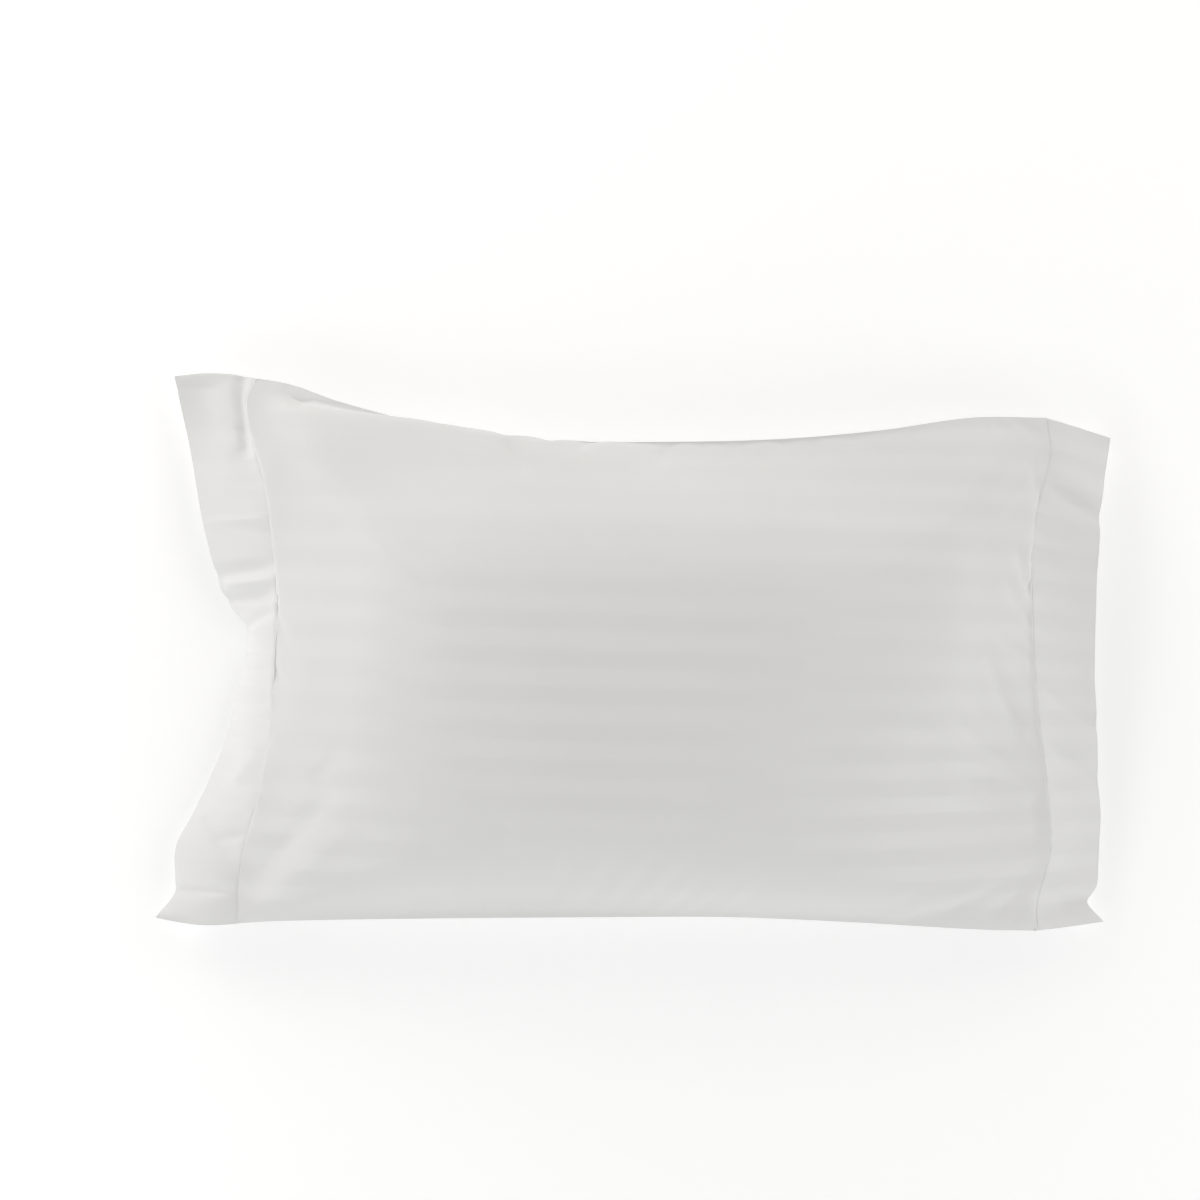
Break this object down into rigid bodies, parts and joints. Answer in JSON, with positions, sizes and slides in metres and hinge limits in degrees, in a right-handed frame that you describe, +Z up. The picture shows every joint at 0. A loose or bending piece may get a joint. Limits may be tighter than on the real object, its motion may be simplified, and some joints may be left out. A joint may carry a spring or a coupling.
{
  "type": "filled flanged pillowcase",
  "caption": "Filled pillowcase of striped cotton lying on its back, crowned, with drawn-in sides and a soft folded flange at each short end.",
  "frame": {"origin": "on the surface that the case lies on, below the middle of its whole outline", "axes": "+X along the case's length, +Y towards its upper long side, +Z up, out of its face"},
  "size_m": [0.8685, 0.4825, 0.1501],
  "materials": {
    "striped_cotton_body": "white cotton with woven satin stripes along its length",
    "striped_cotton_flange": "two layers of the same white satin-striped cotton"
  },
  "bodies": {
    "root": {"case_body": "striped_cotton_body", "flange_left": "striped_cotton_flange", "flange_right": "striped_cotton_flange"}
  },
  "joints": []
}
